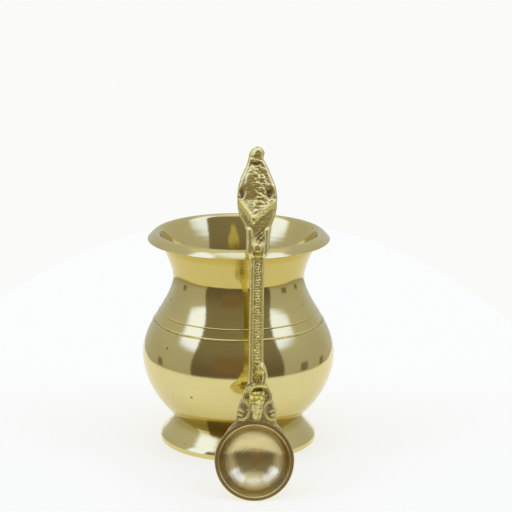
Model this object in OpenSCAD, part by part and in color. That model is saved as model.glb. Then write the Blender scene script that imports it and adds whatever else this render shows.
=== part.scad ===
// Brass water pot with a flared mouth, a round belly and a hollow foot ring,
// and the ritual spoon that stands in front of it and leans on its lip.
// The origin is the centre of the circle the foot stands on. +Z is up, the spoon is at -Y.

/* [Pot] */
// Outer diameter of the mouth, at the edge of the rolled lip
mouth_d = 75; // [60:0.5:92]
// Height of the pot, from the table to the crest of the lip
pot_h = 88.6; // [72:0.2:110]
// Height of the narrowest ring of the neck below the crest of the lip
neck_drop = 18.6; // [14:0.2:24]
// Outer diameter of the neck where it is narrowest
neck_d = 54.4; // [44:0.2:62]
// Outer diameter of the belly where it is widest
belly_d = 80; // [68:0.5:98]
// Height of the widest ring of the belly above the table
belly_z = 37.4; // [31:0.2:46]
// Thickness of the sheet that both shells are raised from
wall = 1.4; // [1:0.05:1.8]

/* [Lip] */
// Radius of the roll that turns the lip over, on its upper face
lip_r = 2.9; // [2.3:0.1:4]
// Lean of the throat away from upright where it meets the lip, in degrees
flare_lean = 26; // [18:1:36]

/* [Belly curve] */
// Diameter of the flat middle of the floor
floor_d = 27.8; // [20:0.2:34]
// Height of the floor above the table
floor_z = 4; // [2:0.2:6]
// How far the floor curve stays flat before it turns up, as a share of its width
floor_full = 0.22; // [0.1:0.02:0.5]
// How far the flank stays upright below the widest ring, as a share of its height
flank_full = 0.585; // [0.4:0.005:0.7]
// How far the shoulder stays upright above the widest ring, as a share of its height
shoulder_full = 0.38; // [0.25:0.01:0.55]
// How far the neck stays upright below its narrowest ring, as a share of its height
neck_low_full = 0.32; // [0.2:0.01:0.5]
// How far the neck stays upright above its narrowest ring, as a share of its length
neck_high_full = 0.43; // [0.2:0.01:0.6]
// How far the throat runs straight into the lip, as a share of its length
throat_full = 0.12; // [0.05:0.01:0.4]

/* [Seam and grooves] */
// Place of the seam between the shells, as a share of the way up the shoulder curve
seam_share = 0.41; // [0.3:0.01:0.5]
// Length of the tongue of the lower shell that laps inside the upper one
lap_l = 2.6; // [1.5:0.1:3.5]
// Width of the brazed joint along the wall
braze_gap = 0.4; // [0.2:0.05:0.6]
// Distance along the wall from the seam to the second turned groove
groove_gap = 4.7; // [3:0.1:5.5]
// Width of a turned groove
groove_w = 0.7; // [0.4:0.05:1]
// Depth of a turned groove
groove_depth = 0.3; // [0.15:0.05:0.4]

/* [Foot] */
// Outer diameter of the foot on the table
foot_d = 65.2; // [56:0.2:79]
// Diameter at which the foot meets the belly
foot_top_d = 51.4; // [43:0.2:58]
// Thickness of the foot's wall
foot_wall = 1.5; // [1:0.1:2]
// Height of the upright band round the foot's edge
foot_band_h = 2.4; // [1.6:0.1:3.5]
// Length of each leg of the brazed fillet under the foot's joint
foot_fillet = 2; // [1:0.1:3]

/* [Spoon] */
// Length of the spoon, from the bottom of its bowl to its tip
spoon_l = 138; // [124:1:166]
// Outer diameter of the spoon's bowl
bowl_d = 30.7; // [25:0.1:37]
// Width of the flat rim round the bowl
bowl_rim = 1.6; // [1:0.1:2.2]
// Depth of the hollow of the bowl
bowl_hollow = 7.6; // [6:0.1:9.5]
// Thickness of the bottom of the bowl
bowl_floor = 1.4; // [1:0.1:2]
// Thickness of the handle casting, from its flat back to the plane of the bowl's rim
handle_t = 3; // [2.4:0.1:3.6]
// Width of the shaft across its two corded edges
shaft_w = 5.7; // [4.6:0.1:7]
// Radius of the cords along the edges of the shaft
cord_r = 0.65; // [0.45:0.05:0.9]
// Width of the scrolled shoulder
shoulder_w = 15.6; // [13:0.1:19]
// Length of the scrolled shoulder, from the top of the bowl to the collar
shoulder_l = 13.3; // [11:0.1:17]
// Width of the lower knuckle
low_knuckle_w = 7.4; // [6:0.1:9]
// Length of the lower knuckle
low_knuckle_l = 8.6; // [7:0.1:11]
// Width of the upper knuckle
high_knuckle_w = 9; // [7.4:0.1:11]
// Length of the upper knuckle
high_knuckle_l = 12.4; // [10:0.1:15]
// Width of the leaf-shaped finial
leaf_w = 15.8; // [13:0.1:19]
// Length of the leaf-shaped finial between its points
leaf_l = 31; // [26:0.5:37]
// Height of the raised border of the finial above its field
leaf_border = 1.2; // [0.6:0.1:1.6]
// Radius of the bud on the tip
bud_r = 3.1; // [2.6:0.1:3.8]

/* [Standing place of the spoon] */
// Distance from the pot's axis to the point where the bowl touches the table
spoon_reach = 75.5; // [68:0.5:90]
// Distance of the spoon to the right of the pot's axis
spoon_x = 7; // [0:0.5:10]
// Lean of the handle to the right, in degrees
spoon_tilt = 0.4; // [0:0.1:2]
// Gap between the back of the handle and the lip
rest_gap = 0.2; // [0.1:0.05:0.5]

/* [Hidden] */
$fn = 96;
brass = [0.80, 0.69, 0.36];
foot_brass = [0.76, 0.66, 0.36];
cast_brass = [0.58, 0.48, 0.28];
braze_brass = [0.72, 0.60, 0.27];

neck_z = pot_h - neck_drop;
lip_c = [mouth_d / 2 - lip_r, pot_h - lip_r];
lip_start = 180 - flare_lean;

// A cubic curve with its four guide points p, its direction, and the point at a depth into the metal.
// A curve runs so that the metal is on its left, so depth is measured towards the inside of the pot.
function bez(p, t) =
    pow(1 - t, 3) * p[0] + 3 * t * pow(1 - t, 2) * p[1] + 3 * t * t * (1 - t) * p[2] + pow(t, 3) * p[3];
function bez_way(p, t) =
    3 * pow(1 - t, 2) * (p[1] - p[0]) + 6 * t * (1 - t) * (p[2] - p[1]) + 3 * t * t * (p[3] - p[2]);
function left_of(v) = [-v[1], v[0]] / norm(v);
function skin(p, t, depth) = bez(p, t) + depth * left_of(bez_way(p, t));
function run(p, from, to, depth, steps) =
    [for (i = [0 : steps]) skin(p, from + (to - from) * i / steps, depth)];
function rest_of(points) = [for (i = [1 : len(points) - 1]) points[i]];
function arc(c, r, from, to, steps) =
    [for (i = [0 : steps]) let (a = from + (to - from) * i / steps) c + r * [cos(a), sin(a)]];
function reversed(points) = [for (i = [len(points) - 1 : -1 : 0]) points[i]];
// The place on a curve where its radius reaches r, by halving
function place_of(p, r, low, high, tries) =
    tries == 0 ? (low + high) / 2
    : bez(p, (low + high) / 2)[0] < r ? place_of(p, r, (low + high) / 2, high, tries - 1)
    : place_of(p, r, low, (low + high) / 2, tries - 1);

// The outer curves of the pot: the flank below the widest ring, the shoulder up to the neck,
// and the throat up to the lip
flank_h = belly_z - floor_z;
flank = [
    [floor_d / 2, floor_z],
    [floor_d / 2 + floor_full * (belly_d - floor_d) / 2, floor_z],
    [belly_d / 2, belly_z - flank_full * flank_h],
    [belly_d / 2, belly_z]
];
shoulder_h = neck_z - belly_z;
shoulder = [
    [belly_d / 2, belly_z],
    [belly_d / 2, belly_z + shoulder_full * shoulder_h],
    [neck_d / 2, neck_z - neck_low_full * shoulder_h],
    [neck_d / 2, neck_z]
];
throat_end = lip_c + (lip_r - wall) * [cos(lip_start), sin(lip_start)];
throat_l = norm(throat_end - [neck_d / 2, neck_z]);
throat = [
    [neck_d / 2, neck_z],
    [neck_d / 2, neck_z + neck_high_full * throat_l],
    throat_end - throat_full * throat_l * [sin(flare_lean), cos(flare_lean)],
    throat_end
];

// Places along the shoulder curve of the seam, the lap and the second groove
shoulder_speed = norm(bez_way(shoulder, seam_share));
seam_low = seam_share;
seam_high = seam_low + braze_gap / shoulder_speed;
lap_end = seam_low + lap_l / shoulder_speed;
groove_at = seam_low + groove_gap / shoulder_speed;
half_groove = groove_w / 2 / shoulder_speed;

foot_joint = place_of(flank, foot_top_d / 2, 0, 1, 30);
flank_skin = concat(run(flank, 0, foot_joint, 0, 8), rest_of(run(flank, foot_joint, 1, 0, 9)));
flank_inside = concat(run(flank, 0, foot_joint, wall, 8), rest_of(run(flank, foot_joint, 1, wall, 9)));
lap_face = concat([skin(shoulder, seam_low, wall / 2)], run(shoulder, seam_high, lap_end, wall / 2, 4));

// Floor, flank and the lower part of the shoulder, raised from one disc,
// with a thinned tongue along its top edge
module lower_shell() {
    color(brass)
        rotate_extrude()
            polygon(concat(
                [[0, floor_z]],
                flank_skin,
                rest_of(run(shoulder, 0, seam_low - half_groove, 0, 7)),
                [skin(shoulder, seam_low, groove_depth)],
                lap_face,
                run(shoulder, lap_end, 0, wall, 9),
                rest_of(reversed(flank_inside)),
                [[0, floor_z + wall]]
            ));
}

// Shoulder, neck, throat and rolled lip, raised from a second disc
module upper_shell() {
    color(brass)
        rotate_extrude()
            polygon(concat(
                [skin(shoulder, seam_high, groove_depth)],
                run(shoulder, seam_high + half_groove, groove_at - half_groove, 0, 3),
                [skin(shoulder, groove_at, groove_depth)],
                run(shoulder, groove_at + half_groove, 1, 0, 10),
                rest_of(run(throat, 0, 1, 0, 9)),
                rest_of(arc(lip_c, lip_r - wall, lip_start, 0, 10)),
                arc(lip_c, lip_r, 0, lip_start, 12),
                rest_of(run(throat, 1, 0, wall, 9)),
                rest_of(run(shoulder, 1, lap_end, wall, 12)),
                reversed(rest_of(lap_face))
            ));
}

// Brazing metal between the two shells, under the lower groove
module shoulder_braze() {
    color(braze_brass)
        rotate_extrude()
            polygon([
                skin(shoulder, seam_low, groove_depth),
                skin(shoulder, seam_high, groove_depth),
                skin(shoulder, seam_high, wall / 2),
                skin(shoulder, seam_low, wall / 2)
            ]);
}

// Everything inside the outer face of the lower shell
module lower_block() {
    rotate_extrude()
        polygon(concat([[0, floor_z]], flank_skin, [[0, belly_z]]));
}

foot_joint_point = bez(flank, foot_joint);
foot_band_top = [foot_d / 2, foot_band_h];
foot_up = (foot_joint_point - foot_band_top) / norm(foot_joint_point - foot_band_top);
foot_in = left_of(foot_up);
foot_under = foot_band_top + foot_wall * foot_in;
foot_band_in = foot_d / 2 - foot_wall;
foot_band_in_top = foot_under + foot_up * (foot_band_in - foot_under[0]) / foot_up[0];
foot_bury = 3;
// Point on the underside of the foot opposite its joint
foot_corner = foot_joint_point + foot_wall * foot_in;

// Flared ring that the pot stands on, cut to the belly where they meet
module foot_ring() {
    color(foot_brass)
        difference() {
            rotate_extrude()
                polygon([
                    [foot_band_in, 0],
                    [foot_d / 2, 0],
                    foot_band_top,
                    foot_joint_point,
                    foot_joint_point + foot_bury * foot_up,
                    foot_corner + foot_bury * foot_up,
                    foot_band_in_top
                ]);
            lower_block();
        }
}

// Fillet of brazing metal in the hidden corner between the foot and the belly
module foot_braze() {
    color(braze_brass)
        difference() {
            rotate_extrude()
                polygon([
                    foot_corner - foot_fillet * foot_up,
                    foot_corner + foot_bury * foot_up,
                    foot_corner - [foot_fillet, 0]
                ]);
            lower_block();
        }
}

/* Spoon, drawn lying on its back: the handle runs along +Y from the bottom of the bowl,
   and the plane of the bowl's rim is z = 0 */
bowl_r = bowl_d / 2;
bowl_depth = bowl_hollow + bowl_floor;
hollow_r = bowl_r - bowl_rim;
bowl_out_r = (bowl_r * bowl_r + bowl_depth * bowl_depth) / (2 * bowl_depth);
bowl_in_r = (hollow_r * hollow_r + bowl_hollow * bowl_hollow) / (2 * bowl_hollow);

collar_y = bowl_d + shoulder_l;
shaft_y = collar_y + low_knuckle_l;
bud_y = spoon_l - bud_r;
leaf_y = spoon_l - bud_r - leaf_l / 2 + 1;
high_knuckle_y = leaf_y - leaf_l / 2 - high_knuckle_l + 2;

// The pot's lip, seen from the foot of the spoon, sets how far the handle leans back.
// What lies on the lip is the shaft, or the knuckle or the finial where the lip is that high.
lip_reach = norm([spoon_reach - lip_c[0], lip_c[1]]);
resting_w = lip_reach > leaf_y - leaf_l / 2 ? leaf_w
    : lip_reach - lip_r > high_knuckle_y ? high_knuckle_w
    : shaft_w;
lip_x = max(0, spoon_x - resting_w / 2);
lip_y = sqrt(pow(mouth_d / 2, 2) - lip_x * lip_x) - lip_r;
lip_way = [spoon_reach - lip_y, lip_c[1]];
spoon_lean = acos((handle_t + rest_gap + lip_r) / norm(lip_way)) - atan2(lip_way[1], lip_way[0]);

module stand_spoon() {
    translate([spoon_x, -spoon_reach, 0])
        rotate([90 - spoon_lean, 0, 0])
            translate([0, bowl_r, 0])
                rotate([0, 0, -spoon_tilt])
                    translate([0, -bowl_r, 0])
                        children();
}

module bowl_block() {
    translate([0, bowl_r, 0])
        intersection() {
            translate([0, 0, bowl_out_r - bowl_depth])
                sphere(r = bowl_out_r);
            translate([0, 0, -bowl_depth - 1])
                cylinder(r = bowl_out_r, h = bowl_depth + 1);
        }
}

// Round dish turned from one blank
module spoon_bowl() {
    color(brass)
        stand_spoon()
            difference() {
                bowl_block();
                translate([0, bowl_r, bowl_in_r - bowl_hollow])
                    sphere(r = bowl_in_r);
            }
}

// Swelling of the shaft, half round over the flat back
module knuckle(y, w, l) {
    swell = (w - knuckle_end_w) / 2;
    swell_r = (l * l / 4 + swell * swell) / (2 * swell);
    half_angle = asin(l / 2 / swell_r);
    translate([0, y + l / 2, -handle_t])
        rotate([-90, 0, 0])
            rotate_extrude()
                polygon(concat(
                    [[0, -l / 2]],
                    arc([w / 2 - swell_r, 0], swell_r, -half_angle, half_angle, 10),
                    [[0, l / 2]]
                ));
}

// Pointed oval, wide enough at its middle for w and long enough between its points for l
module leaf(w, l, h) {
    side_r = (l * l + w * w) / (4 * w);
    intersection_for (side = [-1, 1])
        translate([side * (side_r - w / 2), 0, 0])
            cylinder(r = side_r, h = h);
}

knuckle_end_w = shaft_w * 0.8;
// Volutes: their radius, their centres above the top of the bowl, and how high they stand
scroll_r = shoulder_w * 0.17;
scroll_y = bowl_d + 2.6;
scroll_rise = 1;
// Boss between the volutes
boss_r = scroll_r * 0.9;
boss_y = scroll_y + 3.4;
boss_rise = 0.8;
// Where the shoulder's wings leave the bowl's rim, in degrees above its middle
wing_angle = 40;
// How far the shoulder plate stands above the plane of the bowl's rim
plate_top = 0.3;
// Length over which the plate narrows above the volutes, and its widths there and at the collar
taper_l = 2;
taper_half = shoulder_w * 0.4;
collar_half = low_knuckle_w * 0.6;
// Raised border of the finial, and how far the leaf's field lies below the rim's plane
border_w = 1.4;
field_drop = 0.4;
bud_offset = 0.6;

// Handle cast in one piece: scrolled shoulder, collar, two knuckles, corded shaft,
// leaf-shaped finial and bud, all with one flat back
module spoon_handle() {
    color(cast_brass)
        stand_spoon()
            difference() {
                handle_blank();
                bowl_block();
                below_back();
            }
}

// Space under the flat back
module below_back() {
    below = leaf_w;
    translate([-shoulder_w, -1, -handle_t - below])
        cube([2 * shoulder_w, spoon_l + 2, below]);
}

module handle_blank() {
    shoulder_plate();
    scrolls();
    collar();
    knuckle(collar_y, low_knuckle_w, low_knuckle_l);
    shaft();
    knuckle(high_knuckle_y, high_knuckle_w, high_knuckle_l);
    finial();
}

// Round bar across the top of the shoulder
module collar() {
    collar_r = handle_t * 0.45;
    translate([-collar_half, collar_y, -handle_t / 2])
        rotate([0, 90, 0])
            cylinder(r = collar_r, h = 2 * collar_half);
}

// Plate that spreads from the collar to the rim of the bowl and runs into it on both sides
module shoulder_plate() {
    half = shoulder_w / 2;
    wing = [bowl_r * cos(wing_angle), bowl_r + bowl_r * sin(wing_angle)];
    wing_rise = (wing[0] - half) / tan(wing_angle);
    right_edge = [
        wing,
        [half, wing[1] + wing_rise],
        [half, scroll_y + scroll_r],
        [taper_half, scroll_y + scroll_r + taper_l],
        [collar_half - 0.4, collar_y]
    ];
    left_edge = [for (p = reversed(right_edge)) [-p[0], p[1]]];
    translate([0, 0, -handle_t])
        linear_extrude(height = handle_t + plate_top)
            polygon(concat(right_edge, left_edge));
}

// Pair of volutes and the boss between them
module scrolls() {
    for (side = [-1, 1])
        translate([side * (shoulder_w / 2 - scroll_r), scroll_y, -handle_t])
            cylinder(r = scroll_r * 1.04, h = handle_t + scroll_rise);
    translate([0, boss_y, -handle_t])
        cylinder(r = boss_r, h = handle_t + boss_rise);
}

// Flat strip between two raised cords
module shaft() {
    // Each end runs into a knuckle by this much
    end_in = 1;
    shaft_l = high_knuckle_y - shaft_y + 2 * end_in;
    cord_x = shaft_w / 2 - cord_r;
    translate([-cord_x - cord_r / 2, shaft_y - end_in, -handle_t])
        cube([2 * cord_x + cord_r, shaft_l, handle_t - cord_r]);
    for (side = [-1, 1])
        translate([side * cord_x, shaft_y - end_in, -cord_r])
            rotate([-90, 0, 0])
                cylinder(r = cord_r, h = shaft_l);
}

// Leaf with a raised border, and the bud on its tip
module finial() {
    difference() {
        translate([0, leaf_y, -handle_t])
            leaf(leaf_w, leaf_l, handle_t + leaf_border - field_drop);
        translate([0, leaf_y, -field_drop])
            leaf(leaf_w - 2 * border_w, leaf_l - 5 * border_w, leaf_border + 1);
    }
    translate([-bud_offset, bud_y, -handle_t / 2])
        sphere(r = bud_r);
}

// Fillet of brazing metal behind the shoulder, between the handle's back and the bowl
module spoon_braze() {
    braze_w = shoulder_w * 0.5;
    braze_h = bowl_depth * 0.28;
    // The fillet runs this far past the rim along the handle, stops this far short of it
    // at its foot, and is buried this deep before the bowl is cut away
    along = 2;
    short = 1.2;
    buried = 4;
    rim_y = bowl_r + sqrt(pow(bowl_out_r, 2) - pow(bowl_out_r - bowl_depth + handle_t, 2));
    color(braze_brass)
        stand_spoon()
            difference() {
                translate([-braze_w / 2, 0, 0])
                    rotate([90, 0, 90])
                        linear_extrude(height = braze_w)
                            polygon([
                                [rim_y - buried, -handle_t],
                                [rim_y - buried, -handle_t - braze_h],
                                [rim_y - short, -handle_t - braze_h],
                                [rim_y + along, -handle_t]
                            ]);
                bowl_block();
            }
}

lower_shell();
upper_shell();
shoulder_braze();
foot_ring();
foot_braze();
spoon_bowl();
spoon_handle();
spoon_braze();
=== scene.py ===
"""Brass water pot with its ritual spoon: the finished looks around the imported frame, in metres."""
from math import acos, atan2, cos, pi, radians, sin, sqrt

import bmesh
import bpy
import numpy as np
from mathutils import Matrix, Vector, noise


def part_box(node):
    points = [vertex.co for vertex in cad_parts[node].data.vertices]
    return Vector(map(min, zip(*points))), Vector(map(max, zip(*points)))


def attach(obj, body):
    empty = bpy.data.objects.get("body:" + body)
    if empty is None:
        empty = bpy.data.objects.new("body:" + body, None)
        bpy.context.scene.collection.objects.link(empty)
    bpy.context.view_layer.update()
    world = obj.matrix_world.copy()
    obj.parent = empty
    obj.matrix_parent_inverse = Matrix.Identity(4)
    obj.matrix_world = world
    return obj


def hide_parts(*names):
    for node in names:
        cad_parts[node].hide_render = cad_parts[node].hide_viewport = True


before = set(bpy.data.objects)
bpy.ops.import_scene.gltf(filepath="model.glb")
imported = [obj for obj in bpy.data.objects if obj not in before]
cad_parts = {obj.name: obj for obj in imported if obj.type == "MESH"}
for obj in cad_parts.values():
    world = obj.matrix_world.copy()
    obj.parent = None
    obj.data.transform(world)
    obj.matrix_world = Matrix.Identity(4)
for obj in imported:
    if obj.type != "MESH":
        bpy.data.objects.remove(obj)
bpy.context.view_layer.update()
MM = 0.001
scene = bpy.context.scene

# ---------------------------------------------------------------------------
# Lower shell. A dish raised from one brass disc, turned and buffed on a lathe,
# with a thinned tongue along its top edge that goes into the upper shell.
# ---------------------------------------------------------------------------
low_lo, low_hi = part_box("lower_shell")
top_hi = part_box("upper_shell")[1]
belly_r = low_hi.x
floor_z = low_lo.z
belly_z = 37.4 * MM
neck_r = 27.2 * MM
neck_z = top_hi.z - 18.6 * MM
wall = 1.4 * MM
flat_r = 13.9 * MM
TURNS = 224

# Each curve has its two ends, and two guide points that it leans towards
flank = [
    Vector((flat_r, floor_z)),
    Vector((19.64 * MM, floor_z)),
    Vector((belly_r, 17.86 * MM)),
    Vector((belly_r, belly_z)),
]
shoulder = [
    Vector((belly_r, belly_z)),
    Vector((belly_r, belly_z + 12.39 * MM)),
    Vector((neck_r, neck_z - 10.43 * MM)),
    Vector((neck_r, neck_z)),
]


def on_curve(guides, t, depth=0.0):
    """Point at t on a cubic curve, set into the metal on its left by depth."""
    a, b, c, d = guides
    s = 1 - t
    point = a * s**3 + b * (3 * s * s * t) + c * (3 * s * t * t) + d * t**3
    way = (b - a) * (s * s) + (c - b) * (2 * s * t) + (d - c) * (t * t)
    way.normalize()
    return point + Vector((-way.y, way.x)) * depth


def along(guides, start, end, depth, steps):
    """Evenly spread points of a curve, from start to end."""
    return [on_curve(guides, start + (end - start) * i / steps, depth) for i in range(steps + 1)]


def turned(name, outline, ring=False, crease=28, place=None):
    """Turns an outline of (radius, height) points round the Z axis, as on a lathe."""
    bm = bmesh.new()
    verts = [bm.verts.new((p.x, 0, p.y)) for p in outline]
    ends = verts[1:] + verts[:1] if ring else verts[1:]
    edges = [bm.edges.new(pair) for pair in zip(verts, ends)]
    bmesh.ops.spin(
        bm, geom=verts + edges, cent=(0, 0, 0), axis=(0, 0, 1),
        angle=2 * pi, steps=TURNS, use_merge=True,
    )
    bmesh.ops.remove_doubles(bm, verts=bm.verts, dist=1e-6)
    bmesh.ops.recalc_face_normals(bm, faces=bm.faces)
    # A map of (radius and height, angle), for the drawn-out gloss of turned metal
    turning = bm.loops.layers.uv.new("turning")
    for face in bm.faces:
        middle = face.calc_center_median()
        base = atan2(middle.y, middle.x)
        for loop in face.loops:
            x, y, z = loop.vert.co
            around = atan2(y, x) - base if x * x + y * y > 1e-12 else 0.0
            around = (around + pi) % (2 * pi) - pi
            loop[turning].uv = ((sqrt(x * x + y * y) + z) * 5, (base + around) / (2 * pi))
    if place:
        bmesh.ops.transform(bm, matrix=place, verts=bm.verts)
    return finished(name, bm, crease)


def finished(name, bm, crease):
    """The shape as a piece, smooth but for edges sharper than crease degrees."""
    mesh = bpy.data.meshes.new(name)
    bm.to_mesh(mesh)
    bm.free()
    mesh.shade_smooth()
    mesh.set_sharp_from_angle(angle=radians(crease))
    piece = bpy.data.objects.new(name, mesh)
    scene.collection.objects.link(piece)
    return piece


# The seam, the tongue and the second groove, as places along the shoulder curve
seam = 0.41
braze_w = 0.4 * MM
lap = 2.6 * MM
groove_rise = 4.7 * MM
groove_half_w = 0.35 * MM
shoulder_speed = 3 * (
    (shoulder[1] - shoulder[0]) * (1 - seam) ** 2
    + (shoulder[2] - shoulder[1]) * (2 * seam * (1 - seam))
    + (shoulder[3] - shoulder[2]) * seam**2
).length
seam_top = seam + braze_w / shoulder_speed
tongue_end = seam + lap / shoulder_speed
groove = seam + groove_rise / shoulder_speed
groove_half = groove_half_w / shoulder_speed
groove_depth = 0.3 * MM
tongue = [on_curve(shoulder, seam, wall / 2)] + along(shoulder, seam_top, tongue_end, wall / 2, 4)

lower_shell = turned(
    "lower_shell_turned",
    [Vector((0, floor_z))]
    + along(flank, 0, 1, 0, 46)
    + along(shoulder, 0, seam - groove_half, 0, 18)[1:]
    + [on_curve(shoulder, seam, groove_depth)]
    + tongue
    + along(shoulder, tongue_end, 0, wall, 20)
    + along(flank, 1, 0, wall, 40)[1:]
    + [Vector((0, floor_z + wall))],
)


class Nodes:
    """Wires up one procedural finish. Its patterns are read from Object coordinates."""

    def __init__(self, name):
        self.material = bpy.data.materials.new(name)
        self.material.use_nodes = True
        self.tree = self.material.node_tree
        self.shader = self.tree.nodes["Principled BSDF"]
        coords = self.tree.nodes.new("ShaderNodeTexCoord")
        self.place = coords.outputs["Object"]
        self.facing = coords.outputs["Normal"]

    def put(self, socket, value):
        if isinstance(value, bpy.types.NodeSocket):
            self.tree.links.new(value, socket)
        else:
            socket.default_value = value

    def math(self, way, a, b=0.0):
        node = self.tree.nodes.new("ShaderNodeMath")
        node.operation = way
        for socket, value in zip(node.inputs, (a, b)):
            self.put(socket, value)
        return node.outputs[0]

    def spread(self, value, low, high, to_low=0.0, to_high=1.0):
        """Smooth change from to_low at low to to_high at high."""
        node = self.tree.nodes.new("ShaderNodeMapRange")
        node.interpolation_type = "SMOOTHSTEP"
        for socket, item in zip(node.inputs, (value, low, high, to_low, to_high)):
            self.put(socket, item)
        return node.outputs[0]

    def cloud(self, place, scale, detail=2.0, rough=0.5):
        node = self.tree.nodes.new("ShaderNodeTexNoise")
        self.put(node.inputs["Vector"], place)
        self.put(node.inputs["Scale"], scale)
        self.put(node.inputs["Detail"], detail)
        self.put(node.inputs["Roughness"], rough)
        return node.outputs[0]

    def mix(self, share, a, b):
        """Colour a where share is 0, colour b where it is 1."""
        node = self.tree.nodes.new("ShaderNodeMix")
        node.data_type = "RGBA"
        self.put(node.inputs[0], share)
        self.put(node.inputs[6], a)
        self.put(node.inputs[7], b)
        return node.outputs[2]

    def split(self, vector):
        node = self.tree.nodes.new("ShaderNodeSeparateXYZ")
        self.put(node.inputs[0], vector)
        return node.outputs

    def turned_place(self, place, angular):
        """(radius, height, a little of the angle): anything drawn on it runs in rings."""
        x, y, z = self.split(place)
        square = self.math("ADD", self.math("MULTIPLY", x, x), self.math("MULTIPLY", y, y))
        radius = self.math("SQRT", square)
        around = self.math("MULTIPLY", self.math("ARCTAN2", y, x), angular)
        join = self.tree.nodes.new("ShaderNodeCombineXYZ")
        for socket, item in zip(join.inputs, (radius, z, around)):
            self.put(socket, item)
        return join.outputs[0]

    def specks(self, scale, size, share):
        """Small round pits, on only a share of the cells."""
        node = self.tree.nodes.new("ShaderNodeTexVoronoi")
        self.put(node.inputs["Vector"], self.place)
        self.put(node.inputs["Scale"], scale)
        tint = self.tree.nodes.new("ShaderNodeSeparateColor")
        self.put(tint.inputs[0], node.outputs["Color"])
        chosen = self.math("LESS_THAN", tint.outputs[0], share)
        near = self.spread(node.outputs["Distance"], size * 0.35, size, 1, 0)
        return self.math("MULTIPLY", near, chosen)

    def bump(self, height, distance, under=None):
        """Fine unevenness, distance metres deep, over the unevenness under it."""
        node = self.tree.nodes.new("ShaderNodeBump")
        self.put(node.inputs["Strength"], 1.0)
        self.put(node.inputs["Distance"], distance)
        self.put(node.inputs["Height"], height)
        if under:
            self.put(node.inputs["Normal"], under)
        return node.outputs[0]

    def drawn_gloss(self, amount):
        """Gloss drawn out across the tool rings of a turned piece."""
        node = self.tree.nodes.new("ShaderNodeTangent")
        node.direction_type = "UV_MAP"
        node.uv_map = "turning"
        self.put(self.shader.inputs["Tangent"], node.outputs[0])
        self.shader.inputs["Anisotropic"].default_value = amount

    def finish(self, colour, rough, normal):
        self.put(self.shader.inputs["Base Color"], colour)
        self.put(self.shader.inputs["Roughness"], rough)
        self.put(self.shader.inputs["Normal"], normal)
        self.shader.inputs["Metallic"].default_value = 1.0
        return self.material


def polished_brass():
    """Lathe-turned and buffed brass: fine rings, faint cloudy tarnish, a few dark pin specks, and a
    painted deep yellow of brass reflected in brass in the neck and over the foot.
    """
    n = Nodes("polished_brass")
    rings = n.turned_place(n.place, 0.0002)
    cloudy = n.cloud(n.place, 60, 3)
    fine = n.cloud(rings, 5200, 2, 0.6)
    broad = n.cloud(rings, 700, 2)
    dirt = n.math("MAXIMUM", n.specks(105, 0.09, 0.12), n.specks(230, 0.12, 0.07))
    clean = n.mix(n.spread(cloudy, 0.35, 0.7), (0.74, 0.637, 0.27, 1), (0.705, 0.612, 0.28, 1))
    lines = n.cloud(rings, 2600, 2, 0.7)
    clean = n.mix(n.spread(lines, 0.52, 0.78, 0, 0.3), clean, (0.60, 0.49, 0.19, 1))
    # Painted reflection of brass in brass, with painted shade under the lip: a deep yellow on the
    # down-facing surfaces of the neck's hollow and the lip, and a painted reflection of the foot on the
    # belly just above it
    height = n.split(n.place)[2]
    neck_shade_and_reflection = n.spread(height, 62 * MM, 69 * MM, 0, 0.7)
    neck_shade_and_reflection = n.math("MAXIMUM", neck_shade_and_reflection, n.spread(height, 77 * MM, 83 * MM))
    faces_down = n.spread(n.split(n.facing)[2], -0.14, 0.03, 1, 0)
    neck_shade_and_reflection = n.math("MULTIPLY", neck_shade_and_reflection, faces_down)
    foot_corner_reflection = n.spread(height, 11 * MM, 30 * MM, 0.8, 0)
    foot_corner_reflection = n.math("MULTIPLY", n.spread(height, 7 * MM, 9.5 * MM), foot_corner_reflection)
    # This deep yellow is the painted reflection and painted shade, not a tone of the metal
    clean = n.mix(n.math("MAXIMUM", neck_shade_and_reflection, foot_corner_reflection), clean, (0.56, 0.43, 0.09, 1))
    colour = n.mix(n.math("MULTIPLY", dirt, 0.75), clean, (0.16, 0.13, 0.04, 1))
    rough = n.math("ADD", n.spread(fine, 0.3, 0.75, 0.07, 0.13), n.math("MULTIPLY", dirt, 0.3))
    n.drawn_gloss(0.5)
    normal = n.bump(broad, 0.024 * MM)
    normal = n.bump(fine, 0.0035 * MM, normal)
    return n.finish(colour, rough, normal)


shell_brass = polished_brass()
lower_shell.data.materials.append(shell_brass)
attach(lower_shell, "pot")
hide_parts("lower_shell")

# ---------------------------------------------------------------------------
# Upper shell. Shoulder, neck, throat and flared lip, raised from a second disc.
# Two thin grooves are cut on the lathe: one over the seam, one above it.
# ---------------------------------------------------------------------------
lip_r = 2.9 * MM
lip = Vector((top_hi.x - lip_r, top_hi.z - lip_r))
flare = radians(26)
flare_way = Vector((sin(flare), cos(flare)))
across_wall = Vector((-cos(flare), sin(flare)))
throat_end = lip + across_wall * (lip_r - wall)
throat_l = (throat_end - Vector((neck_r, neck_z))).length
throat = [
    Vector((neck_r, neck_z)),
    Vector((neck_r, neck_z + 0.27 * throat_l)),
    throat_end - flare_way * (0.12 * throat_l),
    throat_end,
]
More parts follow.
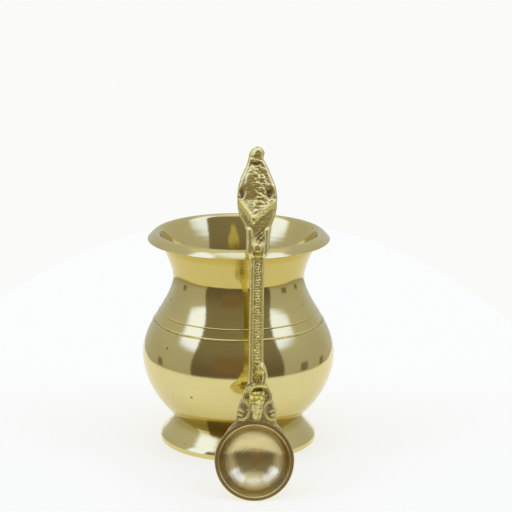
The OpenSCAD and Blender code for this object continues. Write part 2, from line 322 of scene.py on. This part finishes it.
# The rim is flared wide and its edge hammered down, so its outer face is nearly a cone
lip_in = lip + across_wall * lip_r
edge = Vector((top_hi.x, lip.y))
edge_in = edge + Vector((-1.2, -0.15)) * MM
lip_over = [edge, edge + Vector((-1.9, 2.25)) * MM, lip_in + flare_way * (3.6 * MM), lip_in]
lip_under = [
    throat_end,
    throat_end + flare_way * (1.4 * MM),
    edge_in + Vector((-1.1, 1.3)) * MM,
    edge_in,
]
edge_round = [edge + Vector(way) * MM for way in ((-0.75, -0.3), (-0.3, -0.3), (-0.05, -0.15))]
upper_shell = turned(
    "upper_shell_turned",
    [on_curve(shoulder, seam_top, groove_depth)]
    + along(shoulder, seam_top + groove_half, groove - groove_half, 0, 8)
    + [on_curve(shoulder, groove, groove_depth)]
    + along(shoulder, groove + groove_half, 1, 0, 32)
    + along(throat, 0, 1, 0, 28)[1:]
    + [on_curve(lip_under, t / 18) for t in range(1, 19)]
    + edge_round
    + [on_curve(lip_over, t / 34) for t in range(35)]
    + along(throat, 1, 0, wall, 28)[1:]
    + along(shoulder, 1, tongue_end, wall, 34)[1:]
    + tongue[:0:-1],
    ring=True,
)
upper_shell.data.materials.append(shell_brass)
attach(upper_shell, "pot")
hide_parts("upper_shell")


# ---------------------------------------------------------------------------
# Braze between the shells. A thread of yellow brazing metal at the bottom of the
# lower groove. The frame's own solid is shown, with this finish.
# ---------------------------------------------------------------------------
def braze_metal():
    """Dull yellow brazing metal, a little lumpy, with brown flux stain."""
    n = Nodes("braze")
    lumps = n.cloud(n.place, 900, 3)
    stain = n.cloud(n.place, 260, 4, 0.65)
    colour = n.mix(n.spread(stain, 0.4, 0.68), (0.66, 0.52, 0.20, 1), (0.27, 0.20, 0.08, 1))
    rough = n.spread(stain, 0.3, 0.7, 0.28, 0.5)
    return n.finish(colour, rough, n.bump(lumps, 0.12 * MM))


braze = braze_metal()


def show_node(node, material):
    """A frame solid that is shown as it is, with a finish of its own."""
    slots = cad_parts[node].material_slots
    for place in slots:
        place.material = material
    if not slots:
        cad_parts[node].data.materials.append(material)


show_node("shoulder_braze", braze)

# ---------------------------------------------------------------------------
# Foot ring. A flared ring with a short upright band, turned on its own and brazed
# to the bottom of the lower shell. It is open below.
# ---------------------------------------------------------------------------
foot_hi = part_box("foot_ring")[1]
foot_r = foot_hi.x
foot_top_r = 25.7 * MM
foot_wall = 1.5 * MM
band_h = 2.4 * MM
joint = Vector((foot_top_r, foot_hi.z))
band_top = Vector((foot_r, band_h))
foot_up = (joint - band_top).normalized()
foot_in = Vector((-foot_up.y, foot_up.x))
band_in = foot_r - foot_wall
under_joint = joint + foot_in * foot_wall
under_band = under_joint + foot_up * ((band_in - under_joint.x) / foot_up.x)
skirt = [band_top.lerp(joint, t / 12) for t in range(13)]
foot_ring = turned(
    "foot_ring_turned",
    [Vector((band_in, 0)), Vector((band_in + 0.25 * MM, 0))]
    + [Vector((foot_r - 0.35 * MM, 0)), Vector((foot_r, 0.35 * MM))]
    + [Vector((foot_r, 2.1 * MM))]
    + [p + foot_in * (0.05 * MM) for p in skirt[1:]]
    + [under_joint - foot_up * (0.9 * MM), under_band],
    ring=True,
    crease=24,
)
foot_ring.data.materials.append(shell_brass)
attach(foot_ring, "pot")
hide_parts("foot_ring")

# ---------------------------------------------------------------------------
# Braze of the foot. A fillet of brazing metal in the corner between the foot ring
# and the belly. The frame's own solid is shown.
# ---------------------------------------------------------------------------
show_node("foot_braze", braze)

# ---------------------------------------------------------------------------
# Bowl of the spoon. A round dish turned from one blank, its tool rings left in the
# hollow. It stands on the floor on its front edge and leans back with the handle.
# ---------------------------------------------------------------------------
bowl_lo, bowl_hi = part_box("spoon_bowl")
bowl_r = (bowl_hi.x - bowl_lo.x) / 2
spoon_x = (bowl_hi.x + bowl_lo.x) / 2
spoon_lean = acos((bowl_hi.z - bowl_lo.z) / (2 * bowl_r))
spoon_tilt = radians(0.4)
stand = (
    Matrix.Translation((spoon_x, bowl_lo.y, 0))
    @ Matrix.Rotation(pi / 2 - spoon_lean, 4, "X")
    @ Matrix.Translation((0, bowl_r, 0))
    @ Matrix.Rotation(-spoon_tilt, 4, "Z")
    @ Matrix.Translation((0, -bowl_r, 0))
)
bowl_place = stand @ Matrix.Translation((0, bowl_r, 0))
hollow = 7.6 * MM
depth = 9.0 * MM
rim = 1.6 * MM
hollow_r = bowl_r - rim
inner_ball = (hollow_r**2 + hollow**2) / (2 * hollow)
outer_ball = (bowl_r**2 + depth**2) / (2 * depth)
ring_pitch = 1.15 * MM
ring_depth = 0.003 * MM


def hollow_point(r):
    """Outline of the hollow, with the faint rings that the tool left."""
    ripple = ring_depth * cos(2 * pi * r / ring_pitch) * min(1, r / (2 * MM))
    return Vector((r, inner_ball - hollow - sqrt(inner_ball**2 - r * r) + ripple))


def back_point(r):
    """Outline of the round back."""
    return Vector((r, outer_ball - depth - sqrt(outer_ball**2 - r * r)))


rim_soft = 0.3 * MM
spoon_bowl = turned(
    "spoon_bowl_turned",
    [hollow_point(hollow_r * i / 96) for i in range(96)]
    + [Vector((hollow_r, -0.1 * MM)), Vector((hollow_r + rim_soft, 0))]
    + [Vector((bowl_r - rim_soft, 0)), Vector((bowl_r - 0.05 * MM, -rim_soft))]
    + [back_point(bowl_r * i / 40) for i in range(39, -1, -1)],
    place=bowl_place,
)


def spoon_brass():
    """Turned brass with light brown tarnish, its rings running round the bowl's own axis."""
    n = Nodes("spoon_brass")
    own = n.tree.nodes.new("ShaderNodeMapping")
    turn_back = bowl_place.inverted()
    own.inputs["Location"].default_value = turn_back.to_translation()
    own.inputs["Rotation"].default_value = turn_back.to_euler("XYZ")
    n.put(own.inputs["Vector"], n.place)
    rings = n.turned_place(own.outputs[0], 0.0003)
    fine = n.cloud(rings, 4200, 2, 0.6)
    broad = n.cloud(rings, 1100, 2)
    tarnish = n.cloud(n.place, 110, 4, 0.6)
    dirt = n.specks(240, 0.1, 0.08)
    clean = n.mix(n.spread(tarnish, 0.36, 0.66), (0.76, 0.65, 0.31, 1), (0.66, 0.545, 0.27, 1))
    colour = n.mix(n.math("MULTIPLY", dirt, 0.6), clean, (0.17, 0.12, 0.05, 1))
    rough = n.spread(fine, 0.3, 0.75, 0.10, 0.16)
    n.drawn_gloss(0.95)
    normal = n.bump(broad, 0.01 * MM)
    normal = n.bump(fine, 0.03 * MM, normal)
    return n.finish(colour, rough, normal)


bowl_brass = spoon_brass()
spoon_bowl.data.materials.append(bowl_brass)
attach(spoon_bowl, "spoon")
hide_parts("spoon_bowl")

# ---------------------------------------------------------------------------
# Handle. One casting with a flat back: scrolled shoulder, slanted collar, knuckle,
# corded shaft, second knuckle, leaf-shaped finial with a V border, and a bud.
# Its relief is worked out in millimetres, y up from the foot and x from the middle.
# ---------------------------------------------------------------------------
handle_back = -3.0
back_edge = 0.45
wing_start = 25.2
wing_end = 36.0
handle_end = 138
bowl_mm = bowl_r / MM
# Edges of the casting: how far along the handle, then the left and the right edge
EDGES = [
    (25.2, -11.8, 11.8), (27.9, -7.7, 8.2), (29.6, -7.2, 8.3), (34.6, -6.9, 8.1),
    (38.0, -5.9, 7.1), (41.5, -4.7, 5.6), (43.6, -4.0, 5.2), (45.2, -3.1, 4.3),
    (48.0, -3.0, 4.8), (51.0, -2.9, 4.2), (53.6, -2.8, 3.0), (60.0, -2.85, 2.9),
    (92.0, -2.8, 2.9), (94.4, -3.4, 3.5), (97.0, -4.4, 4.6), (102.0, -4.3, 4.8),
    (105.0, -4.5, 4.9), (107.0, -5.2, 5.4), (110.5, -7.1, 6.8), (114.0, -7.9, 7.5),
    (118.6, -8.1, 7.6), (122.5, -7.7, 7.0), (126.2, -6.7, 5.5), (130.8, -4.6, 3.5),
    (133.2, -4.0, 2.1), (134.6, -3.8, 2.0), (135.8, -3.5, 2.5), (137.0, -2.8, 2.0),
    (137.8, -1.7, 1.1), (138.0, -1.0, 0.5),
]
ACROSS = 68
ALONG = 620


def hill(x, middle, width):
    """Smooth rounded rise of height 1."""
    return np.exp(-(((x - middle) / width) ** 2))


def step(x, low, high):
    """Smooth rise from 0 at low to 1 at high."""
    t = np.clip((x - low) / (high - low), 0, 1)
    return t * t * (3 - 2 * t)


def span(x, low, high, soft):
    """1 between low and high, with soft ends."""
    return step(x, low - soft, low + soft) * (1 - step(x, high - soft, high + soft))


def spot(x, y, at, size):
    """Flat-topped oval of height 1."""
    return np.exp(-(((x - at[0]) / size[0]) ** 2 + ((y - at[1]) / size[1]) ** 2) ** 2)


def rib(x, middle, half, height, sunk):
    """Half-round rib along the handle, standing on a sunk ground."""
    return height * np.sqrt(np.clip(1 - ((x - middle) / half) ** 2, 0, 1)) - sunk


def stroke(x, y, a, b, width):
    """Raised line from a to b."""
    ax, ay = a
    dx, dy = b[0] - ax, b[1] - ay
    t = np.clip(((x - ax) * dx + (y - ay) * dy) / (dx * dx + dy * dy), 0, 1)
    return np.exp(-((x - ax - t * dx) ** 2 + (y - ay - t * dy) ** 2) / width**2)


def grain(x, y, pitch, seed):
    """Lumps of sand-cast metal, from about -1 to 1."""
    rough = [noise.noise(Vector((a / pitch, b / pitch, seed))) for a, b in zip(x.flat, y.flat)]
    return np.array(rough).reshape(x.shape)


def scales(x, y, pitch):
    """Rows of overlapping round scales."""
    x = x + 0.42 * pitch * grain(x, y, 2.6, 12.2)
    y = y + 0.42 * pitch * grain(x, y, 2.3, 17.9)
    row = np.floor(y / pitch)
    u = x / pitch + 0.5 * (row % 2)
    du = u - np.floor(u) - 0.5
    dv = y / pitch - row
    return np.clip(1 - (2 * du) ** 2 - (1 - dv) ** 2 * 0.9, 0, 1) ** 0.5 * dv


def scrolled_shoulder(x, y, bow, cast):
    """Sunk plate, palmette ribs between the scrolls, scales above them, and the slanted collar."""
    plate = -0.75 + 0.55 * bow
    fan = np.arctan2(x - 0.8, y - 28.0)
    leaflet = span(y, 30.9, 37.0, 0.6) * (1 - step(np.abs(x - 0.8) - 0.22 * (y - 30), 0.6, 1.3))
    crown = span(y, 37.0, 42.4, 0.5) * (1 - step(np.abs(x - 0.6), 2.6, 3.6))
    plate += leaflet * (0.35 + 0.42 * np.cos(fan * 13) + 0.3 * np.cos(y * 3.3))
    plate += crown * (0.55 + 1.15 * scales(x - 0.4, y - 36.2, 1.9)) + 0.25 * cast
    stain = 0.62 - 0.5 * np.maximum(leaflet, crown)
    # The collar has a dark recess below it
    slant = y - 43.9 - 0.16 * (x - 0.8) + 0.07 * (x - 0.8) ** 2
    collar = 1.35 * hill(slant, 0, 0.7)
    recess = hill(slant, -1.5, 0.55) * (1 - step(np.abs(x - 0.8), 1.6, 2.6))
    plate += collar - 0.6 * recess
    return plate, np.maximum(stain * (1 - hill(slant, 0, 0.9)), recess)


def lower_knuckle(x, y, left, right, fine):
    """Smooth border on both sides, scales between, one polished swelling on top."""
    swelling = (1.7, 50.2)
    borders = np.maximum(rib(x, left + 1.1, 1.15, 1.5, 1.1), rib(x, right - 1.15, 1.2, 1.6, 1.1))
    height = np.maximum(borders, -0.75 + 0.75 * scales(x, y, 1.25) + 0.25 * fine)
    height += 1.3 * spot(x, y, swelling, (1.5, 2.0))
    return height, 0.55 * (height < -0.35) * (1 - spot(x, y, swelling, (1.7, 2.2)))


def corded_shaft(x, y, cast, fine):
    """Broad smooth cord, pitted strip of beads, thin cord."""
    bead_pitch = 1.05
    bead = np.abs(np.cos(pi * (y + 0.25 * cast) / bead_pitch)) * hill(x, 0.5, 0.8)
    strip = -0.55 + 0.45 * bead + 0.3 * fine
    cords = np.maximum(rib(x, -1.8, 1.12, 1.5, 0.95), rib(x, 2.35, 0.62, 1.2, 0.8))
    height = np.maximum(cords, strip) + 0.06 * cast
    return height, 0.35 * span(x, -0.75, 1.85, 0.25) * (1 - 0.7 * bead)


def upper_knuckle(x, y, left, right, cast, fine, wide):
    """Smooth sides, a sunk rough panel, a bright swelling, and a ridge with a groove at its lower end."""
    panel = spot(x, y, (0.8, 101.8), (2.0, 2.7))
    veins = np.abs(np.sin(2.0 * (0.8 * (x + 0.5 * wide) - 0.9 * (y - 101) + 0.6 * cast))) * panel
    middle = 1 - step(np.abs(x - 0.3), 1.6, 2.2)
    borders = np.maximum(rib(x, left + 1.5, 1.55, 1.7, 1.2), rib(x, right - 1.2, 1.25, 1.6, 1.2))
    height = np.maximum(borders, 0.05 * wide - 0.1)
    height += -0.8 * panel + 0.5 * veins + 0.35 * fine * panel
    height += 1.25 * spot(x, y, (0.2, 97.9), (1.9, 2.3))
    height += 0.7 * hill(y, 94.3, 0.6) - 0.5 * hill(y, 95.6, 0.45) * middle
    return height, 0.95 * panel * (1 - 0.6 * veins) + 0.5 * hill(y, 95.5, 0.4) * middle


def leaf_finial(x, y, u, bow, cast, fine, wide):
    """Domed leaf with smooth sides, a sunk worked field, two hollows and a raised V border."""
    inner = 1 - step(np.abs(u), 0.6, 0.74)
    tip = (-1.5, 107.9)
    wx, wy = x + 0.3 * cast, y + 0.4 * cast
    vee = np.maximum(stroke(wx, wy, (-7.2, 116.4), tip, 0.7), stroke(wx, wy, (6.5, 115.6), tip, 0.75))
    over = y - tip[1] - np.where(x < tip[0], 1.49, 0.96) * np.abs(x - tip[0])
    inside = step(over, -0.3, 0.5)
    upper = step(y, 115.5, 118.5) * (1 - step(y, 129.8, 131.5)) * inner
    mound = 0.8 * spot(x, y, (-2.6, 124.5), (3.0, 5.0))
    worked = step(x, -2.2, 0.3) * upper
    crease = np.sin(1.5 * (x + 1.1 * y) + 4.0 * wide)
    field = upper * (-0.3 + 0.6 * mound + 0.22 * wide)
    field += worked * (0.2 * crease + 0.3 * scales(x, y, 1.9) + 0.25 * cast)
    # Below the widest place it is tilted up to the V: a smooth cheek, then a broken bright one
    cheek = inside * (1 - step(y, 116.0, 118.6))
    lift = (117.5 - y) * 0.16
    facet = np.floor(2.2 * (grain(x, y, 1.7, 21.3) + 1)) / 2.2
    right_cheek = step(x, -1.7, -0.9)
    field += cheek * (lift - 0.75 + 0.09 * (x + 5) * (1 - right_cheek))
    field += cheek * right_cheek * (0.55 * facet + 0.45 * np.abs(fine) + 0.2 * cast)
    height = 1.9 * bow - 1.45 + field + 0.85 * vee + 0.1 * cast * inner
    # The two side hollows are darkened as painted shade; the nook and the dot are darker too
    pit_l = spot(x, y, (-6.1, 119.2), (1.1, 2.1))
    pit_r = spot(x, y, (4.6, 119.6), (1.5, 2.2))
    nook = spot(x, y, (-0.9, 131.2), (2.1, 1.0))
    dot = spot(x, y, (-1.5, 108.7), (0.36, 0.36))
    height -= 0.8 * pit_l + 0.85 * pit_r * (1 - 0.6 * np.abs(fine)) + 0.6 * nook + 0.6 * dot
    stain = np.maximum(np.maximum(pit_l, 0.9 * pit_r), np.maximum(0.85 * nook, dot))
    return height, np.maximum(stain, 0.35 * worked * (crease < -0.5))


def bud(x, y, bow, cast, wide):
    """Small rounded bud at the tip, with a crease across its foot."""
    height = 1.9 * bow - 1.3 + 0.35 * spot(x, y, (0.2, 135.6), (1.8, 1.6)) + 0.14 * cast + 0.1 * wide
    return height - 0.45 * hill(y + 0.35 * x, 132.9, 0.45), 0 * x


def relief(x, y, left, right):
    """Height of the front over the plane of the bowl's rim, and how stained it is."""
    middle = (left + right) / 2
    u = (x - middle) / ((right - left) / 2)
    cast = grain(x, y, 0.9, 3.1)
    fine = grain(x, y, 0.42, 8.7)
    wide = grain(x, y, 2.6, 5.9)
    bow = np.sqrt(np.clip(1 - u * u, 0, 1))
    height, stain_and_shade = scrolled_shoulder(x, y, bow, cast)
    # Each part takes over from the one below it at its start, over a short soft length
    for (part, mark), start, soft in (
        (lower_knuckle(x, y, left, right, fine), 45.0, 0.4),
        (corded_shaft(x, y, cast, fine), 52.9, 0.5),
        (upper_knuckle(x, y, left, right, cast, fine, wide), 94.0, 0.5),
        (leaf_finial(x, y, u, bow, cast, fine, wide), 105.4, 0.8),
        (bud(x, y, bow, cast, wide), 132.6, 0.5),
    ):
        share = step(y, start - soft, start + soft)
        height = height * (1 - share) + part * share
        stain_and_shade = stain_and_shade * (1 - share) + mark * share
    # Cast edges fall away to the sides, and are darkened a little as painted shade; those of the finial
    # stay full
    fall = np.clip((np.abs(u) - 0.84) / 0.16, 0, 1)
    stain_and_shade = np.maximum(stain_and_shade, 0.4 * step(np.abs(u), 0.86, 0.97))
    return height - 0.9 * (1 - np.sqrt(1 - fall**2)) * (y < 105), np.clip(stain_and_shade, 0, 1)


def smooth_edge(along_handle, column):
    """One edge of the casting, its corners rounded off."""
    edges = np.array(EDGES)
    weights = np.hanning(13) / np.hanning(13).sum()
    straight = np.interp(along_handle, edges[:, 0], edges[:, column])
    return np.convolve(np.pad(straight, 6, "edge"), weights, "valid")


def cast_handle():
    """Grid for the worked front, its edge drawn back in two steps and closed with a flat back."""
    bm = bmesh.new()
    # The stain layer holds tarnish in the hollows, and painted shade in the finial's side hollows and
    # along the cast edges
    mark = bm.verts.layers.float.new("stain")
    bmesh.ops.create_grid(bm, x_segments=ACROSS, y_segments=ALONG, size=1)
    verts = list(bm.verts)
    flat = np.array([v.co for v in verts])
    # Columns crowd towards the edges, where the relief turns down
    crowding = pi / 2 * 0.94
    s = np.sin(flat[:, 0] * crowding) / sin(crowding)
    way = (flat[:, 1] + 1) / 2
    dense = np.linspace(wing_start, handle_end, 1200)
    y = wing_start + way * (handle_end - wing_start)
    left, right = (np.interp(y, dense, smooth_edge(dense, column)) for column in (1, 2))
    x = (left + right) / 2 + s * (right - left) / 2
    # The lowest rows follow the round of the bowl's rim
    rim_y = bowl_mm + np.sqrt(np.clip(bowl_mm**2 - x * x, 0, None))
    share = np.clip((y - wing_start) / (wing_end - wing_start), 0, 1)
    y = np.where(y < wing_end, rim_y + (wing_end - rim_y) * share, y)
    z, stain_and_shade = relief(x, y, left, right)
    for v, a, b, c, d in zip(verts, x, y, z, stain_and_shade):
        v.co = (a, b, c)
        v[mark] = d
    rim_edges = [e for e in bm.edges if e.is_boundary]
    for drop in (handle_back + back_edge, handle_back):
        out = bmesh.ops.extrude_edge_only(bm, edges=rim_edges)["geom"]
        fresh = [g for g in out if isinstance(g, bmesh.types.BMVert)]
        rim_edges = [g for g in out if isinstance(g, bmesh.types.BMEdge) and g.is_boundary]
        for v in fresh:
            v.co.z = drop
            v[mark] = 0.15
            # Behind the bowl the back is drawn in, to end inside the bowl's wall
            reach = Vector((v.co.x, v.co.y - bowl_mm))
            if reach.length < bowl_mm + 0.3 and v.co.y < 31:
                reach *= 0.9
                v.co.x, v.co.y = reach.x, reach.y + bowl_mm
    bmesh.ops.contextual_create(bm, geom=rim_edges)
    bmesh.ops.recalc_face_normals(bm, faces=bm.faces)
    bmesh.ops.transform(bm, matrix=stand @ Matrix.Scale(MM, 4), verts=bm.verts)
    return finished("spoon_handle_cast", bm, 50)


spoon_handle = cast_handle()


def cast_brass():
    """Cast brass, its high places rubbed bright, brown tarnish left in the hollows, and painted shade in
    the finial's side hollows and along the cast edges.
    """
    n = Nodes("cast_brass")
    # The stain attribute is tarnish in the hollows plus painted shade in the finial's side hollows and on
    # the cast edges
    stain = n.tree.nodes.new("ShaderNodeAttribute")
    stain.attribute_name = "stain"
    skin = n.cloud(n.place, 1500, 3, 0.6)
    patch = n.cloud(n.place, 300, 3, 0.6)
    dark = n.math("ADD", stain.outputs["Fac"], n.math("MULTIPLY", n.math("SUBTRACT", patch, 0.55), 0.9))
    dark = n.spread(dark, 0.12, 0.95)
    colour = n.mix(dark, (0.95, 0.84, 0.33, 1), (0.30, 0.23, 0.10, 1))
    rough = n.math("ADD", n.spread(dark, 0, 1, 0.28, 0.45), n.math("MULTIPLY", skin, 0.10))
    normal = n.bump(patch, 0.26 * MM)
    normal = n.bump(skin, 0.045 * MM, normal)
    return n.finish(colour, rough, normal)


handle_brass = cast_brass()
spoon_handle.data.materials.append(handle_brass)
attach(spoon_handle, "spoon")
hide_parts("spoon_handle")

# ---------------------------------------------------------------------------
# Scrolls of the shoulder. Two raised cords that run down from the collar and curl
# outwards into volutes, with two short ribs beside each. They are of the same
# casting as the handle.
# ---------------------------------------------------------------------------
SCROLLS = {
    "left": [
        (-3.2, 43.0), (-4.3, 40.6), (-4.3, 38.6), (-3.0, 37.0),
        (-2.2, 35.0), (-2.6, 32.7), (-4.2, 31.2), (-6.3, 31.1),
    ],
    "left_high": [(-6.9, 34.9), (-5.6, 34.6), (-4.3, 33.8)],
    "left_low": [(-6.9, 33.2), (-5.8, 32.9), (-4.8, 32.4)],
    "right": [
        (4.9, 43.0), (6.0, 40.5), (5.9, 38.5), (4.4, 37.0),
        (3.7, 35.0), (4.2, 32.7), (5.8, 31.3), (8.0, 31.3),
    ],
    "right_high": [(8.3, 35.0), (7.1, 34.7), (5.8, 34.0)],
    "right_low": [(8.3, 33.3), (7.3, 33.1), (6.2, 32.6)],
}
scroll_r = 0.6 * MM
scroll_lift = 0.12


def scroll(side, points):
    """One raised cord through the points, thinner towards its end."""
    line = bpy.data.curves.new("scroll_" + side, "CURVE")
    line.dimensions = "3D"
    line.bevel_depth = scroll_r
    line.bevel_resolution = 4
    line.resolution_u = 8
    line.use_fill_caps = True
    spline = line.splines.new("BEZIER")
    last = len(points) - 1
    spline.bezier_points.add(last)
    for i, (knot, (x, y)) in enumerate(zip(spline.bezier_points, points)):
        knot.co = Vector((x, y, scroll_lift)) * MM
        knot.handle_left_type = knot.handle_right_type = "AUTO"
        knot.radius = 1.1 - 0.3 * i / last
    drawn = bpy.data.objects.new("scroll_line", line)
    scene.collection.objects.link(drawn)
    mesh = bpy.data.meshes.new_from_object(drawn.evaluated_get(bpy.context.evaluated_depsgraph_get()))
    bpy.data.objects.remove(drawn)
    bm = bmesh.new()
    bm.from_mesh(mesh)
    bmesh.ops.remove_doubles(bm, verts=bm.verts, dist=1e-7)
    bmesh.ops.recalc_face_normals(bm, faces=bm.faces)
    bmesh.ops.transform(bm, matrix=stand, verts=bm.verts)
    piece = finished("spoon_scroll_" + side, bm, 60)
    piece.data.materials.append(handle_brass)
    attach(piece, "spoon")


for side, points in SCROLLS.items():
    scroll(side, points)

# ---------------------------------------------------------------------------
# Braze of the spoon. Brazing metal that fills the wedge between the round back of
# the bowl and the flat back of the handle. The frame's own solid is shown.
# ---------------------------------------------------------------------------
show_node("spoon_braze", braze)

# ---------------------------------------------------------------------------
# Floor. A pale, softly glowing sheet under the pot that reaches far behind it. Its
# front edge is near, and shows in the reflections of the belly.
# ---------------------------------------------------------------------------
floor_r = 155 * MM
floor_reach = 2.7
bm = bmesh.new()
bmesh.ops.create_circle(bm, cap_ends=True, segments=96, radius=floor_r)
for v in bm.verts:
    v.co.y *= floor_reach if v.co.y > 0 else 1
floor = finished("floor", bm, 30)
paint = Nodes("floor_paint")
paint.put(paint.shader.inputs["Base Color"], (0.46, 0.46, 0.42, 1))
paint.shader.inputs["Roughness"].default_value = 0.6
paint.shader.inputs["Emission Color"].default_value = (1.0, 1.0, 0.94, 1)
paint.shader.inputs["Emission Strength"].default_value = 0.645
floor.data.materials.append(paint.material)

# ---------------------------------------------------------------------------
# Studio surroundings. Grey-cream walls, a dark opening in front, a soft window on
# each side of it, a bright ceiling with a lamp over the front. Seen directly, they
# are one plain pale backdrop. Directions are in degrees, ahead 0 being the front.
# ---------------------------------------------------------------------------
world = bpy.data.worlds.new("studio")
scene.world = world
world.use_nodes = True
tree = world.node_tree
back = tree.nodes["Background"]


class Sky(Nodes):
    """Wires up the surroundings, which are read by direction."""

    def __init__(self):
        self.tree = tree
        self.place = tree.nodes.new("ShaderNodeTexCoord").outputs["Generated"]


sky = Sky()
to_right, to_back, up = sky.split(sky.place)
ahead = sky.math("ARCTAN2", to_right, sky.math("MULTIPLY", to_back, -1))
ahead = sky.math("MULTIPLY", ahead, 180 / pi)
rise = sky.math("MULTIPLY", sky.math("ARCSINE", up), 180 / pi)


def panel(left, right, low, high, soft_x, soft_y):
    """1 inside a rectangle of directions, with soft edges."""
    a = sky.spread(ahead, left - soft_x, left + soft_x)
    b = sky.spread(ahead, right - soft_x, right + soft_x, 1, 0)
    c = sky.spread(rise, low - soft_y, low + soft_y)
    d = sky.spread(rise, high - soft_y, high + soft_y, 1, 0)
    return sky.math("MULTIPLY", sky.math("MULTIPLY", a, b), sky.math("MULTIPLY", c, d))


walls = sky.mix(sky.spread(rise, 0, 45), (0.50, 0.49, 0.46, 1), (0.58, 0.58, 0.58, 1))
far = sky.spread(sky.math("ABSOLUTE", ahead), 118, 160)
walls = sky.mix(far, walls, (0.58, 0.60, 0.64, 1))
low_room = sky.spread(rise, -14, -6, 1, 0)
walls = sky.mix(low_room, walls, (0.47, 0.45, 0.40, 1))
# Three small dark things that stand low beside the pot
for left, right, low, high in ((-109, -100, -13, -3), (79, 90, -15, 0), (112, 120, -15, -5)):
    walls = sky.mix(panel(left, right, low, high, 1.5, 2), walls, (0.22, 0.19, 0.15, 1))
dark = panel(-57, 56, -60, 50, 1.5, 4)
shade = sky.mix(sky.spread(rise, -8, 42), (0.155, 0.13, 0.10, 1), (0.25, 0.22, 0.17, 1))
brown_patch = panel(-28, 6, -6, 26, 6, 8)
shade = sky.mix(brown_patch, shade, (0.22, 0.15, 0.09, 1))
light = sky.mix(sky.spread(rise, 50, 60), walls, (0.76, 0.75, 0.72, 1))
left_window = panel(-86, -50, 25, 66, 5, 4)
light = sky.mix(left_window, light, (1.2, 1.4, 2.6, 1))
right_window = panel(50, 88, 29, 66, 5, 4)
light = sky.mix(right_window, light, (1.15, 1.35, 2.5, 1))
light = sky.mix(dark, light, shade)
lamp = panel(-66, 66, 68, 88, 4, 2.5)
light = sky.mix(lamp, light, (1.05, 1.2, 2.0, 1))
seen = tree.nodes.new("ShaderNodeLightPath").outputs["Is Camera Ray"]
light = sky.mix(seen, light, (0.955, 0.965, 0.94, 1))
sky.put(back.inputs["Color"], light)
back.inputs["Strength"].default_value = 1.0

# ---------------------------------------------------------------------------
# Camera. It stands in front, a little above the pot, and looks slightly down.
# ---------------------------------------------------------------------------
camera_at = (7.13 * MM, -696.5 * MM, 248.3 * MM)
looks_down = radians(13.745)
roll = 0.0062
camera_data = bpy.data.cameras.new("camera")
camera_data.sensor_width = 36
camera_data.lens = 122.08
camera = bpy.data.objects.new("camera", camera_data)
camera.matrix_world = (
    Matrix.Translation(camera_at)
    @ Matrix.Rotation(pi / 2 - looks_down, 4, "X")
    @ Matrix.Rotation(roll, 4, "Z")
)
scene.collection.objects.link(camera)
scene.camera = camera
scene.view_settings.view_transform = "Standard"
